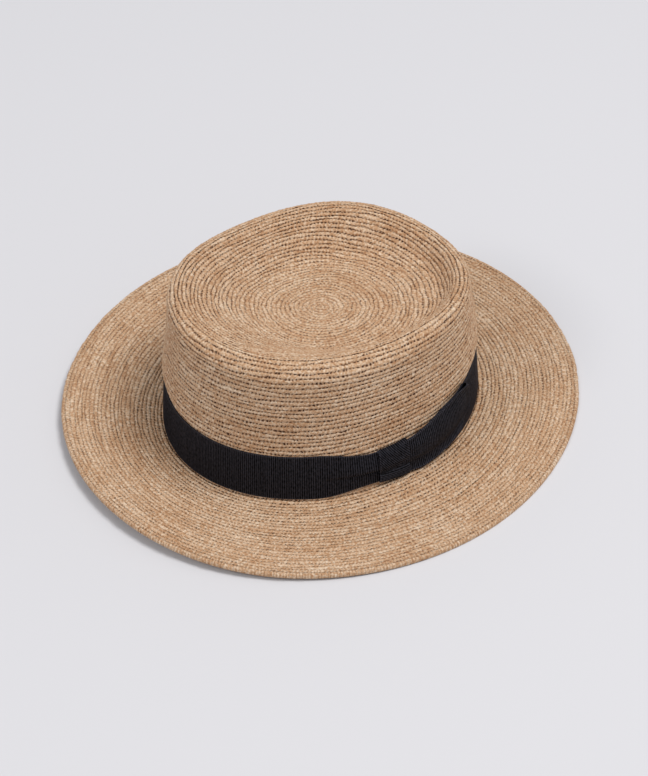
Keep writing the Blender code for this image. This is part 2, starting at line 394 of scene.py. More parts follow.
def outward_lines(angle):
    """For each angle, a line of points from the crown's middle to the brim's edge, and their rounds."""
    top = tip_point(angle, np.linspace(0, 1, TOP_POINTS)[:, None])
    rim = np.stack([rim_point(angle, 1 - t) for t in np.linspace(0, 1, RIM_POINTS)[1:]])
    down = np.linspace(0, 1, SIDE_POINTS)[1:-1, None]
    side_foot = JOIN_ROUND + root_swell(angle)
    side = side_point(angle, side_height(angle) * (1 - down) + side_foot * down)[0]
    foot, out = side_point(angle, side_foot)
    swing = np.linspace(0, 1, JOIN_POINTS)[:, None, None] * math.pi / 2
    join = foot + JOIN_ROUND * (out * (1 - np.cos(swing)) - np.array([0, 0, 1]) * np.sin(swing))
    brim = brim_point(angle, np.linspace(JOIN_ROUND / BRIM_WIDTH * BRIM_FROM, 1, BRIM_POINTS)[:, None])
    points = np.concatenate([top, rim, side, join, brim])
    steps = np.linalg.norm(np.diff(points, axis=0), axis=-1)
    length = np.concatenate([np.zeros((1, len(angle))), np.cumsum(steps, axis=0)])
    ends = (0, len(top) - 1, len(points) - len(brim) - 1, len(points) - 1)
    limits = (0, SIDE_STARTS, BRIM_STARTS, LAST_ROUND)
    rounds = np.empty_like(length)
    for start, end, low, high in zip(ends, ends[1:], limits, limits[1:]):
        part = slice(start, end + 1)
        rounds[part] = low + (high - low) * (length[part] - length[start]) / (length[end] - length[start])
    return points, rounds


def wobble(angle, row):
    """How far a round strays from an even spacing."""
    stray = sum(size * np.sin(waves * angle + change * row + start) for size, waves, change, start in WAVES)
    kinks = np.abs(np.sin(KINK_WAVES * angle + KINK_START)) - KINK_MEAN
    stray = stray + KINK * kinks * np.exp(-((row - KINK_ROUND) / KINK_SPREAD) ** 4)
    return stray * np.clip(row / EVEN_FIRST, 0, 1) * np.clip((LAST_ROUND - row) / EVEN_LAST, 0, 1)


def read_lines(points, rounds, wanted):
    """The points at the wanted rounds, one column of them for each line."""
    found = np.empty(wanted.shape + (3,))
    for column in range(wanted.shape[1]):
        for axis in range(3):
            found[:, column, axis] = np.interp(wanted[:, column], rounds[:, column], points[:, column, axis])
    return found


def lay_out(rows, angle):
    """Points of the straw's outer face for rows of rounds and columns of angles, with their directions."""
    points, rounds = outward_lines(angle)
    laid = read_lines(points, rounds, rows[:, None] + wobble(angle[None, :], rows[:, None]))
    ahead = read_lines(points, rounds, np.minimum(rows + 0.5, LAST_ROUND)[:, None] + 0 * angle[None, :])
    behind = read_lines(points, rounds, np.maximum(rows - 0.5, 0.0)[:, None] + 0 * angle[None, :])
    along = np.roll(laid[:, :-1], -1, axis=1) - np.roll(laid[:, :-1], 1, axis=1)
    along = np.concatenate([along, along[:, :1]], axis=1)
    normal = np.cross(ahead - behind, along)
    size = np.linalg.norm(normal, axis=-1, keepdims=True)
    normal = np.where(size > 1e-12, normal / np.maximum(size, 1e-12), np.array([0.0, 0.0, 1.0]))
    return laid, normal


print("stitches per round: first", stitches_in(np.arange(5.0)), "side", stitches_in(np.array([50.0])), "edge",
      stitches_in(np.array([90.0])))

# %% [markdown]
# One stitch is a small slanted bar. Along a round the bars make a ridge, and between two rounds lies a
# groove, with a little hole wherever two stitches meet. No two stitches are pulled equally tight, so each
# gets its own height and hole from a fixed table of chances. The relief is only half a millimetre deep, but
# it gives the crown its ribbed outline and catches the light as the real straw does. The stitches of the rim
# and side are pulled wide open, and those of the top and the brim lie closer: a short table says how open
# they are at a few rounds, and both the relief and the shade painted into the grooves and holes read it.

# %% Relief of a stitch
RIDGE_HEIGHT = 0.00056
RIDGE_SHAPE = 0.8
RIDGE_SINK = 0.55
STITCH_DIP = 0.30
HOLE_DEPTH = 0.00060
GROOVE_WIDTH = 0.22
SLANT = 0.35
ROUND_SHIFT = 0.37
TALL_FROM = 0.75
TALL_RANGE = 0.5
DEEP_FROM = 0.25
OPEN_ROUNDS = (0, 12, 25, 31, 62, 68, 77, LAST_ROUND)
OPEN_SHARES = (0.42, 0.48, 0.85, 1.00, 1.00, 0.75, 0.46, 0.38)
CHANCE_SEED = 11
CHANCES_PER_ROUND = 512
chances = np.random.default_rng(CHANCE_SEED).random((2, LAST_ROUND + 2, CHANCES_PER_ROUND))


def openness(row):
    """How open the stitches of a round are, as a share of those on the side."""
    return np.interp(row, OPEN_ROUNDS, OPEN_SHARES)


def stitch_relief(u, v):
    """How far the straw's face stands out at a place round the hat and a round."""
    row = np.floor(v + 1e-6)
    within = np.clip(v - row, 0, 1)
    number = u * stitches_in(row) + SLANT * within + ROUND_SHIFT * row
    stitch = np.floor(number)
    between = np.cos(math.pi * (number - stitch)) ** 2
    count = np.maximum(stitches_in(row), 1)
    pick = (row.astype(int) % chances.shape[1], np.mod(stitch, count).astype(int) % CHANCES_PER_ROUND)
    tall = TALL_FROM + TALL_RANGE * chances[0][pick]
    deep = DEEP_FROM + chances[1][pick]
    ridge = np.sin(math.pi * within) ** RIDGE_SHAPE
    groove = np.exp(-(np.minimum(within, 1 - within) / GROOVE_WIDTH) ** 2)
    ridged = RIDGE_HEIGHT * (ridge * (1 - STITCH_DIP * between) * tall - RIDGE_SINK)
    return (ridged - HOLE_DEPTH * groove * between ** 3 * deep) * openness(row)


print("rounds 10, 50 and 90 are open by", openness(np.array([10, 50, 90])).round(2))

# %% [markdown]
# ## The straw's pieces
#
# Each zone of the straw is a piece of its own: a flat grid of the right fineness, rolled up in two
# directions. Its columns run round the hat. Its rows run outwards over the outer face and come back along the
# inner face, so that the piece is a closed wall. The grid's map of the two numbers is made while the grid is
# still flat, and the seams are merged after every point has gone to its place.

# %% Rolled grids
RIB_ROWS = 4
INNER_RELIEF = 0.00025
SHARP_FROM = math.radians(70)
EDGE_ROWS = 0.55
EDGE_ROUND = 0.0011
EDGE_BUMP = 0.0005
EDGE_COLUMNS = 4
EDGE_CHANCES = 5

# the brim's edge repeats the map of the place this many rounds before the last one ends
EDGE_MAP = 0.35
ABOVE_FLOOR = 0.00001


def new_piece(name, bm, material, node):
    """Makes a smooth object of a bmesh, which rides on the hat and stands for a solid."""
    made_mesh = bpy.data.meshes.new(name)
    bm.to_mesh(made_mesh)
    bm.free()
    made_mesh.shade_smooth()
    made_mesh.set_sharp_from_angle(angle=SHARP_FROM)
    made_mesh.materials.append(material)
    piece = bpy.data.objects.new(name, made_mesh)
    bpy.context.scene.collection.objects.link(piece)
    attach(piece, "root")
    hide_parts(node)
    return piece


def rolled_grid(places, across, along, merge=1e-6):
    """A flat grid whose points go to places[row, column], with a map of each point's two numbers."""
    rows, columns = places.shape[:2]
    bm = bmesh.new()
    bmesh.ops.create_grid(bm, x_segments=columns - 1, y_segments=rows - 1, size=0.5)
    flat = bpy.data.meshes.new("flat_grid")
    bm.to_mesh(flat)
    bm.free()
    spots = np.empty(len(flat.vertices) * 3)
    flat.vertices.foreach_get("co", spots)
    spots = spots.reshape(-1, 3) + 0.5
    column = np.rint(spots[:, 0] * (columns - 1)).astype(int)
    row = np.rint(spots[:, 1] * (rows - 1)).astype(int)
    flat.vertices.foreach_set("co", places[row, column].astype(np.float32).ravel())
    corner = np.empty(len(flat.loops), dtype=np.int32)
    flat.loops.foreach_get("vertex_index", corner)
    layer = flat.uv_layers.new(name="rounds")
    pairs = np.stack([across[row, column], along[row, column]], -1)[corner]
    layer.data.foreach_set("uv", pairs.astype(np.float32).ravel())
    bm = bmesh.new()
    bm.from_mesh(flat)
    bpy.data.meshes.remove(flat)
    bmesh.ops.remove_doubles(bm, verts=bm.verts, dist=merge)
    bmesh.ops.recalc_face_normals(bm, faces=bm.faces)
    return bm


def triangles(piece):
    """How many triangles a piece has."""
    return sum(len(face.vertices) - 2 for face in piece.data.polygons)


def rounded_edge(face, out, rows):
    """Turns the brim's last rows down, and lets the edge stand out unevenly, stitch by stitch."""
    over = np.clip((rows - LAST_ROUND + EDGE_ROWS) / EDGE_ROWS, 0, 1)[:, None, None]
    outwards = face[-1:] - face[-1 - RIB_ROWS:-RIB_ROWS]
    outwards /= np.linalg.norm(outwards, axis=-1, keepdims=True)
    columns = face.shape[1] - 1
    stitch = np.arange(columns + 1) % columns // EDGE_COLUMNS
    bumps = chances[0][EDGE_CHANCES][stitch % CHANCES_PER_ROUND][None, :, None] - 0.5
    return face - out * EDGE_ROUND * (1 - np.sqrt(1 - over ** 2)) + outwards * EDGE_BUMP * bumps * over


def straw_wall(name, first, last, columns, material, inner_step=1.0, rib_rows=RIB_ROWS):
    """One closed zone of the straw between two rounds."""
    angle = np.linspace(0, 2 * math.pi, columns + 1)
    rows = np.linspace(first, last, round((last - first) * rib_rows) + 1)
    inner_rows = np.linspace(last, first, round((last - first) / inner_step) + 1)
    u = angle[None, :] / (2 * math.pi)
    face, out = lay_out(rows, angle)
    face = face + out * stitch_relief(u + 0 * rows[:, None], rows[:, None] + 0 * u)[..., None]
    if last == LAST_ROUND:
        face = rounded_edge(face, out, rows)
    back, out = lay_out(inner_rows, angle)
    ribbed = INNER_RELIEF * np.cos(2 * math.pi * inner_rows)[:, None, None]
    back = back - out * (STRAW_WALL + ribbed)
    back[..., 2] = np.maximum(back[..., 2], ABOVE_FLOOR)
    places = np.concatenate([face, back])
    numbers = np.concatenate([rows, inner_rows])[:, None] + 0 * u
    if first > 0:
        places = np.concatenate([places, face[:1]])
        numbers = np.concatenate([numbers, numbers[:1]])
    bm = rolled_grid(places, u + 0 * numbers, np.minimum(numbers, LAST_ROUND - EDGE_MAP))
    piece = new_piece(name, bm, material, "hat_body")
    print(name, "has", triangles(piece), "triangles")
    return piece


# %% [markdown]
# ## Raffia
#
# Raffia is the dried skin of a palm leaf, split into strips and twisted while it is crocheted. Each bar of a
# stitch is a few millimetres of strip, matt to silky, and pale straw, tan or reddish brown depending on the
# side and the age of the leaf. The pattern reads the map of rounds. From it the nodes work out the same
# stitch numbers as the relief does, with a little stray, give each stitch its own tone, paint shade into the
# grooves and the little holes between stitches, and lay fine fibres along each bar. The brim's last rounds
# are worked over with short stitches that stand across them.

# %% Nodes of the straw's pattern
STRAW_PALE = "E2CCB2"
STRAW_TAN = "BC9673"
STRAW_RUST = "9A6A45"
# the deep brown of the shade painted into the grooves, the holes and the gaps between cross stitches
PAINTED_SHADE_BROWN = "4A2A17"
TAN_PLACE = 0.45

# how much each chance says in a stitch's shade, and how the sum is spread over the colours
STITCH_SHADE = 0.10
RUN_SHADE = 0.44
PATCH_SHADE = 0.22
FLECK_SHADE = 1.20
FIBRE_SHADE = 0.55
SHADE_SPREAD = 1.25
SHADE_START = -1.045

# patches are about 45 mm wide and flecks 1.4 mm
PATCHES_PER_METRE = 22.0
FLECKS_PER_METRE = 720.0

# how fast the fibres, the runs of one shade and the stray change along a round and from round to round
FIBRES_ALONG = 2.0
FIBRES_ACROSS = 6.0
RUNS_ALONG = 0.07
RUNS_ACROSS = 3.7
STRAY_ALONG = 0.45
STRAY_ACROSS = 0.8
STRAY = 1.3


def math_node(tree, operation, *values):
    """Adds one sum of numbers or outputs and returns its result."""
    node = add_node(tree, "ShaderNodeMath", operation=operation)
    for place, value in enumerate(values):
        if isinstance(value, bpy.types.NodeSocket):
            tree.links.new(value, node.inputs[place])
        else:
            node.inputs[place].default_value = value
    return node.outputs[0]


def noise_over(tree, x, y, scale=1.0, detail=2.0):
    """Noise over two numbers, from 0 to 1."""
    place = add_node(tree, "ShaderNodeCombineXYZ", {"X": x, "Y": y})
    noise = add_node(tree, "ShaderNodeTexNoise", {
        "Vector": place.outputs[0], "Scale": scale, "Detail": detail}, noise_dimensions="2D")
    return noise.outputs["Fac"]


def remap(tree, value, start, end, low=0.0, high=1.0, kind="LINEAR"):
    """Turns the numbers from start to end into those from low to high."""
    node = add_node(tree, "ShaderNodeMapRange", {
        "Value": value, "From Min": start, "From Max": end, "To Min": low, "To Max": high},
        interpolation_type=kind)
    return node.outputs[0]


def to_nearest(tree, value):
    """How far a number from 0 to 1 is from the nearer of the two."""
    return math_node(tree, "MINIMUM", value, math_node(tree, "SUBTRACT", 1.0, value))


def stitch_nodes(tree):
    """The map's numbers, the round, the place within it, its count, the stitch at a spot and its stray."""
    chart = add_node(tree, "ShaderNodeUVMap", uv_map="rounds").outputs["UV"]
    parts = add_node(tree, "ShaderNodeSeparateXYZ", {"Vector": chart})
    u = parts.outputs["X"]
    v = parts.outputs["Y"]
    row = math_node(tree, "FLOOR", v)
    within = math_node(tree, "SUBTRACT", v, row)
    grown = math_node(tree, "MULTIPLY_ADD", row, TOP_INCREASE, float(FIRST_STITCHES))
    grown = math_node(tree, "MINIMUM", grown, float(SIDE_STITCHES))
    brim_row = math_node(tree, "MAXIMUM", math_node(tree, "SUBTRACT", row, float(BRIM_STARTS - 1)), 0.0)
    count = math_node(tree, "MULTIPLY_ADD", brim_row, BRIM_INCREASE, grown)
    count = math_node(tree, "FLOOR", math_node(tree, "ADD", count, 0.5))
    number = math_node(tree, "MULTIPLY", u, count)
    number = math_node(tree, "MULTIPLY_ADD", within, SLANT, number)
    number = math_node(tree, "MULTIPLY_ADD", row, ROUND_SHIFT, number)
    pull = noise_over(tree, math_node(tree, "MULTIPLY", number, STRAY_ALONG),
                      math_node(tree, "MULTIPLY", v, STRAY_ACROSS))
    uneven = math_node(tree, "SUBTRACT", pull, 0.5)
    number = math_node(tree, "MULTIPLY_ADD", uneven, STRAY, number)
    return u, v, row, within, count, number, uneven


def straw_shade(tree, number, row, chance, fibres):
    """The colour of the strip: it keeps its shade for a dozen stitches, and a bundle for part of a round."""
    runs = noise_over(tree, math_node(tree, "MULTIPLY", number, RUNS_ALONG),
                      math_node(tree, "MULTIPLY", row, RUNS_ACROSS), detail=3.0)
    coordinate = add_node(tree, "ShaderNodeTexCoord").outputs["Object"]
    patches = add_node(tree, "ShaderNodeTexNoise", {
        "Vector": coordinate, "Scale": PATCHES_PER_METRE, "Detail": 2.0})
    flecks = add_node(tree, "ShaderNodeTexNoise", {
        "Vector": coordinate, "Scale": FLECKS_PER_METRE, "Detail": 2.0})
    shade = math_node(tree, "MULTIPLY", chance, STITCH_SHADE)
    shade = math_node(tree, "MULTIPLY_ADD", runs, RUN_SHADE, shade)
    shade = math_node(tree, "MULTIPLY_ADD", patches.outputs["Fac"], PATCH_SHADE, shade)
    shade = math_node(tree, "MULTIPLY_ADD", flecks.outputs["Fac"], FLECK_SHADE, shade)
    shade = math_node(tree, "MULTIPLY_ADD", fibres, FIBRE_SHADE, shade)
    shade = math_node(tree, "MULTIPLY_ADD", shade, SHADE_SPREAD, SHADE_START)
    ramp = add_node(tree, "ShaderNodeValToRGB", {"Fac": shade})
    ramp.color_ramp.elements[0].position = 0.0
    ramp.color_ramp.elements[0].color = linear(STRAW_RUST)
    ramp.color_ramp.elements[1].position = 1.0
    ramp.color_ramp.elements[1].color = linear(STRAW_PALE)
    ramp.color_ramp.elements.new(TAN_PLACE).color = linear(STRAW_TAN)
    return ramp.outputs["Color"]


print("patches", round(1000 / PATCHES_PER_METRE), "mm wide, flecks", round(1000 / FLECKS_PER_METRE, 1), "mm")

# %% [markdown]
# The material puts these together. Shade is painted where a spot lies deep: in the groove between two
# rounds, most of all in the hole where two stitches meet there, and in the gaps between the edge's cross
# stitches. The same groove, holes, bars and fibres also give a fine bump, which carries on the relief of the
# mesh where it is too small for the grid.

# %% Raffia material
CROSS_ROUNDS = 1.7
CROSS_STITCHES = 520
CROSS_EDGE = 0.2
CROSS_STRAY = 0.8
CROSS_GAP = (0.02, 0.24)

# where a groove and a gap end, as shares of a round and of a stitch, and how much the chances change them
GROOVE_RANGE = (0.02, 0.26)
GROOVE_STRAY = 0.35
GAP_RANGE = (0.06, 0.42)
GAP_LEAST = 0.65
GAP_VARIES = 1.1
HOLE_RANGE = (0.1, 1.25)
# how strongly shade is painted into the grooves, the holes and the gaps between cross stitches
GROOVE_PAINTED_SHADE = 0.22
HOLE_PAINTED_SHADE = 1.55
CROSS_PAINTED_SHADE = 0.24
BUMP_HEIGHT = 0.0006
HOLE_BUMP = -1.0
GROOVE_BUMP = -0.35
GAP_BUMP = -0.25
CROSS_BUMP = -0.45
FIBRE_BUMP = 0.5


def open_share(tree, row):
    """Reads the table of open rounds."""
    opened = add_node(tree, "ShaderNodeValToRGB", {"Fac": math_node(tree, "DIVIDE", row, float(LAST_ROUND))})
    opened.color_ramp.elements[0].color = (OPEN_SHARES[0],) * 3 + (1.0,)
    opened.color_ramp.elements[1].color = (OPEN_SHARES[-1],) * 3 + (1.0,)
    for start, share in list(zip(OPEN_ROUNDS, OPEN_SHARES))[1:-1]:
        opened.color_ramp.elements.new(start / LAST_ROUND).color = (share,) * 3 + (1.0,)
    return opened.outputs[0]


def cross_bars(tree, u, v, uneven):
    """The gaps between the short stitches that stand across the brim's last rounds."""
    start = LAST_ROUND - CROSS_ROUNDS
    crossed = remap(tree, v, start - CROSS_EDGE, start + CROSS_EDGE)
    bar = math_node(tree, "MULTIPLY", u, float(CROSS_STITCHES))
    bar = math_node(tree, "PINGPONG", math_node(tree, "MULTIPLY_ADD", uneven, CROSS_STRAY, bar), 0.5)
    return math_node(tree, "MULTIPLY", remap(tree, bar, *CROSS_GAP, 1.0, 0.0), crossed)


def make_raffia():
    """Crocheted raffia: matt twisted strips, each stitch a tone of its own, with shade painted into the
    holes.
    """
    material, tree, shader = new_material("crocheted_raffia")
    u, v, row, within, count, number, uneven = stitch_nodes(tree)
    stitch = math_node(tree, "FLOOR", number)
    part = math_node(tree, "SUBTRACT", number, stitch)
    cell = add_node(tree, "ShaderNodeCombineXYZ", {
        "X": math_node(tree, "FLOORED_MODULO", stitch, count), "Y": row})
    chance = add_node(tree, "ShaderNodeTexWhiteNoise", {"Vector": cell.outputs[0]}, noise_dimensions="2D")
    picks = add_node(tree, "ShaderNodeSeparateColor", {"Color": chance.outputs["Color"]}).outputs
    fibres = noise_over(tree, math_node(tree, "MULTIPLY", number, FIBRES_ALONG),
                        math_node(tree, "MULTIPLY", v, FIBRES_ACROSS))

    edge = math_node(tree, "MULTIPLY_ADD", uneven, GROOVE_STRAY, to_nearest(tree, within))
    groove = remap(tree, edge, *GROOVE_RANGE, 1.0, 0.0, "SMOOTHSTEP")
    side = math_node(tree, "MULTIPLY_ADD", picks[2], GAP_VARIES, GAP_LEAST)
    side = math_node(tree, "MULTIPLY", to_nearest(tree, part), side)
    gap = remap(tree, side, *GAP_RANGE, 1.0, 0.0, "SMOOTHSTEP")
    hole = math_node(tree, "MULTIPLY", groove, gap)
    hole = math_node(tree, "MULTIPLY", hole, remap(tree, picks[1], 0.0, 1.0, *HOLE_RANGE))
    bars = cross_bars(tree, u, v, uneven)

    # painted shade: grooves, holes and cross-stitch gaps are mixed towards deep brown, less where stitches
    # lie close
    dark = math_node(tree, "MULTIPLY_ADD", groove, GROOVE_PAINTED_SHADE, math_node(tree, "MULTIPLY", hole, HOLE_PAINTED_SHADE))
    dark = math_node(tree, "MULTIPLY", open_share(tree, row), dark)
    dark = math_node(tree, "MULTIPLY_ADD", bars, CROSS_PAINTED_SHADE, dark)
    colour = add_node(tree, "ShaderNodeMix", data_type="RGBA")
    tree.links.new(math_node(tree, "MINIMUM", dark, 1.0), colour.inputs["Factor"])
    tree.links.new(straw_shade(tree, number, row, picks[0], fibres), colour.inputs[6])
    colour.inputs[7].default_value = linear(PAINTED_SHADE_BROWN)
    tree.links.new(colour.outputs[2], shader.inputs["Base Color"])

    height = math_node(tree, "MULTIPLY", groove, GROOVE_BUMP)
    layers = ((hole, HOLE_BUMP), (gap, GAP_BUMP), (bars, CROSS_BUMP), (fibres, FIBRE_BUMP))
    for layer, amount in layers:
        height = math_node(tree, "MULTIPLY_ADD", layer, amount, height)
    bump = add_node(tree, "ShaderNodeBump", {"Height": height, "Distance": BUMP_HEIGHT, "Strength": 0.8})
    tree.links.new(bump.outputs["Normal"], shader.inputs["Normal"])
    shader.inputs["Roughness"].default_value = 0.8
    shader.inputs["Specular IOR Level"].default_value = 0.25
    return material


raffia = make_raffia()
print("raffia has", len(raffia.node_tree.nodes), "nodes")

# %% [markdown]
# The straw is cut into seven zones. The grid is finest where the stitches are seen best, and the part of the
# side that the ribbon hides has half the rows.

# %% Seven zones
MIDDLE_ENDS = 12
TOP_ENDS = 33
SIDE_SPLIT = 46
HIDDEN_FROM = 60
BRIM_SPLIT = 78
straw = [
    straw_wall("crown_middle", 0, MIDDLE_ENDS, 360, raffia, inner_step=2),
    straw_wall("crown_top", MIDDLE_ENDS, TOP_ENDS, 900, raffia, inner_step=2),
    straw_wall("crown_rim", TOP_ENDS, SIDE_SPLIT, 960, raffia, inner_step=2),
    straw_wall("crown_side", SIDE_SPLIT, HIDDEN_FROM, 960, raffia, inner_step=2),
    straw_wall("crown_foot", HIDDEN_FROM, BRIM_STARTS, 480, raffia, rib_rows=2),
    straw_wall("brim_inner", BRIM_STARTS, BRIM_SPLIT, 1264, raffia),
    straw_wall("brim_outer", BRIM_SPLIT, LAST_ROUND, 1440, raffia),
]
print("straw has", sum(triangles(piece) for piece in straw), "triangles")

# %% [markdown]
# ## The ribbon
#
# Grosgrain is a ribbon with ribs that run across it and smooth woven edges. The ribs lie 1.35 mm apart and
# are a tenth of a millimetre high, so they are real relief too: three columns of the grid for each rib. Its
# black is never even: a soft mottle and worn patches change its tone and gloss, a dull highlight is painted
# along the back of each rib, and a thin highlight is painted along both edges. First come the ribbon's
# sizes, shared by the band and the bow, and its material.

# %% Ribbon
RIBBON_WIDTH = 0.0330
RIBBON_THICKNESS = 0.0010
CLOTH_THICKNESS = 0.0007
CLEARANCE = 0.0003
RIB_PITCH = 0.00135
RIB_HEIGHT = 0.00011
RIB_COLUMNS = 3
RIBBON_DARK = "030304"
RIBBON_LIGHT = "302F39"
RIBBON_SHEEN = "3A373E"
THREADS_ACROSS = 55
# where a thin highlight is painted along both edges of the ribbon, and how light it is
EDGE_HIGHLIGHT_SPAN = (0.468, 0.482)
EDGE_PAINTED_HIGHLIGHT = 0.26
BASE_TONE = -0.30
MOTTLE_TONE = 0.25
WORN_TONE = 0.90
WORN_ACROSS = 14.0
# the dull highlight painted along the back of each rib, with painted shade between the ribs
RIB_PAINTED_HIGHLIGHT = 0.30
THREAD_TONE = 0.05
THREAD_BUMP = 0.15
RIBBON_BUMP = 0.0002
GLOSS = (0.34, 0.06)


def make_grosgrain():
    """Black rayon grosgrain: a dull silky highlight is painted along the backs of its ribs."""
    material, tree, shader = new_material("black_rayon_grosgrain")
    chart = add_node(tree, "ShaderNodeUVMap", uv_map="rounds").outputs["UV"]
    parts = add_node(tree, "ShaderNodeSeparateXYZ", {"Vector": chart})
    x = parts.outputs["X"]
    y = parts.outputs["Y"]
    rib = math_node(tree, "SINE", math_node(tree, "MULTIPLY", x, 2 * math.pi))
    thread = math_node(tree, "SINE", math_node(tree, "MULTIPLY", y, 2 * math.pi * THREADS_ACROSS))
    mottle = add_node(tree, "ShaderNodeTexNoise", {"Vector": chart, "Scale": 0.7, "Detail": 4.0},
                      noise_dimensions="2D")
    worn = noise_over(tree, x, math_node(tree, "MULTIPLY", y, WORN_ACROSS), scale=1.1)
    tone = math_node(tree, "MULTIPLY_ADD", mottle.outputs["Fac"], MOTTLE_TONE, BASE_TONE)
    tone = math_node(tree, "MULTIPLY_ADD", worn, WORN_TONE, tone)
    # painted highlight along each rib's back, and painted shade between the ribs
    tone = math_node(tree, "MULTIPLY_ADD", rib, RIB_PAINTED_HIGHLIGHT, tone)
    tone = math_node(tree, "MULTIPLY_ADD", thread, THREAD_TONE, tone)
    away = math_node(tree, "ABSOLUTE", math_node(tree, "SUBTRACT", y, 0.5))
    # a painted highlight along both edges of the ribbon
    tone = math_node(tree, "ADD", tone, remap(tree, away, *EDGE_HIGHLIGHT_SPAN, 0.0, EDGE_PAINTED_HIGHLIGHT))
    ramp = add_node(tree, "ShaderNodeValToRGB", {"Fac": tone})
    ramp.color_ramp.elements[0].color = linear(RIBBON_DARK)
    ramp.color_ramp.elements[1].color = linear(RIBBON_LIGHT)
    tree.links.new(ramp.outputs["Color"], shader.inputs["Base Color"])
    tree.links.new(math_node(tree, "MULTIPLY_ADD", tone, *GLOSS), shader.inputs["Specular IOR Level"])
    bump = add_node(tree, "ShaderNodeBump", {
        "Height": math_node(tree, "MULTIPLY_ADD", thread, THREAD_BUMP, rib), "Distance": RIBBON_BUMP,
        "Strength": 0.8})
    tree.links.new(bump.outputs["Normal"], shader.inputs["Normal"])
    shader.inputs["Roughness"].default_value = 0.66
    shader.inputs["Sheen Weight"].default_value = 0.06
    shader.inputs["Sheen Roughness"].default_value = 0.4
    shader.inputs["Sheen Tint"].default_value = linear(RIBBON_SHEEN)
    return material


grosgrain = make_grosgrain()
print("grosgrain has", len(grosgrain.node_tree.nodes), "nodes")

# %% [markdown]
# The band is one closed ring. Towards the knot it is gathered, and a fold runs along it that gets deeper and
# deeper: a hollow, a sharp step, and a slope back up to the ribbon's upper edge.

# %% Band
BAND_LIFT = 0.0010
BAND_END_WIDTH = 0.0230
BAND_RIBS = 452
BAND_SHARES = (0, 0.02, 0.08, 0.18, 0.3, 0.37, 0.41, 0.43, 0.45, 0.5, 0.58, 0.7, 0.84, 0.94, 0.98, 1.0)
KNOT_ANGLE = math.radians(-10)
KNOT_LENGTH = 0.0200
GATHER_FROM = 0.6 * KNOT_LENGTH
GATHER_REACH = 0.0350
RIB_FADE = 8
FOLD_DEPTH = 0.0020
FOLD_LIFT = 0.35

# where parts of the fold begin or lie, and how long they are, as shares of the ribbon's width
FOLD_STEP = (0.415, 0.03)
FOLD_BACK = (0.5, 0.5)
FOLD_HOLLOW = 0.35
FOLD_HOLLOW_PLACE = (0.40, 0.05)


def gathered(angle):
    """How far the band is gathered at an angle, from 0 where it is full to 1 at the knot."""
    away = np.abs(np.mod(angle - KNOT_ANGLE + math.pi, 2 * math.pi) - math.pi) * HEAD_LENGTH / 2
    return eased(1 - (away - GATHER_FROM) / GATHER_REACH)


def both_faces(share):
    """Rows for a ribbon's outer face from its lower to its upper edge, and then back along its inner face."""
    share = np.array(share)
    shares = np.concatenate([share, share[::-1], share[:1]])[:, None]
    outer = np.concatenate([np.ones(len(share)), np.zeros(len(share)), [1.0]])[:, None]
    return shares, outer


def step_at(share, place):
    """Runs smoothly from 0 to 1, from a place's first number over the length of its second."""
    return eased((share - place[0]) / place[1])


def hill_at(share, place):
    """A smooth hill: 1 at a place's first number, and about as wide as its second."""
    return np.exp(-((share - place[0]) / place[1]) ** 2)


angle = np.linspace(0, 2 * math.pi, BAND_RIBS * RIB_COLUMNS + 1)[None, :]
share, outer = both_faces(BAND_SHARES)
tight = gathered(angle)
width = RIBBON_WIDTH - (RIBBON_WIDTH - BAND_END_WIDTH) * tight
up = BAND_LIFT + (RIBBON_WIDTH - width) / 2 + width * share
rib = np.sin(BAND_RIBS * angle) * np.minimum(1, RIB_FADE * share * (1 - share))
fold = step_at(share, FOLD_STEP) * (1 - step_at(share, FOLD_BACK))
fold = fold - FOLD_HOLLOW * hill_at(share, FOLD_HOLLOW_PLACE)
off = CLEARANCE + outer * (CLOTH_THICKNESS + RIB_HEIGHT * rib) + FOLD_DEPTH * tight * (FOLD_LIFT + fold)
places = side_point(angle, up, off)[0]
bm = rolled_grid(places, BAND_RIBS * angle / (2 * math.pi) + 0 * share, share + 0 * angle)
band = new_piece("ribbon_band", bm, grosgrain, "hat_band")
band_length = np.linalg.norm(np.diff(side_point(angle[0], RIBBON_WIDTH / 2)[0], axis=0), axis=1).sum()
print("band", round(band_length * 1000), "mm long")

# %% [markdown]
# The bow's loop is the same ribbon: it leaves the knot, lies along the band, turns over at its end and comes
# back over itself. A short table gives the heights of its edges at stations along it, and a smooth curve goes
# through them: the upper edge, the lower edge of the outer ply, and that of the ply below it. Places on the
# bow are lengths round from the knot's middle.

# %% Stations of the loop
LOOP_COLUMNS = ("reach", "upper", "lower", "under")
LOOP_STATIONS = np.array([
    (0.00, 0.86, 0.38, 0.14),
    (0.12, 0.89, 0.38, 0.14),
    (0.30, 0.96, 0.35, 0.13),
    (0.52, 1.03, 0.34, 0.15),
    (0.75, 1.10, 0.38, 0.22),
    (0.92, 1.16, 0.46, 0.31),
    (1.00, 1.17, 0.52, 0.37),
])


def at_station(column, reach):
    """Reads one column of the loop's table at a share of its length, on a smooth curve through its rows."""
    stops = LOOP_STATIONS[:, 0]
    values = LOOP_STATIONS[:, LOOP_COLUMNS.index(column)]
    slopes = np.gradient(values, stops)
    reach = np.clip(reach, 0, 1)
    first = np.clip(np.searchsorted(stops, reach, side="right") - 1, 0, len(stops) - 2)
    span = stops[first + 1] - stops[first]
    t = (reach - stops[first]) / span
    blend = eased(t)
    return (values[first] * (1 - blend) + values[first + 1] * blend + span * t * (1 - t) * (
        slopes[first] * (1 - t) - slopes[first + 1] * t))


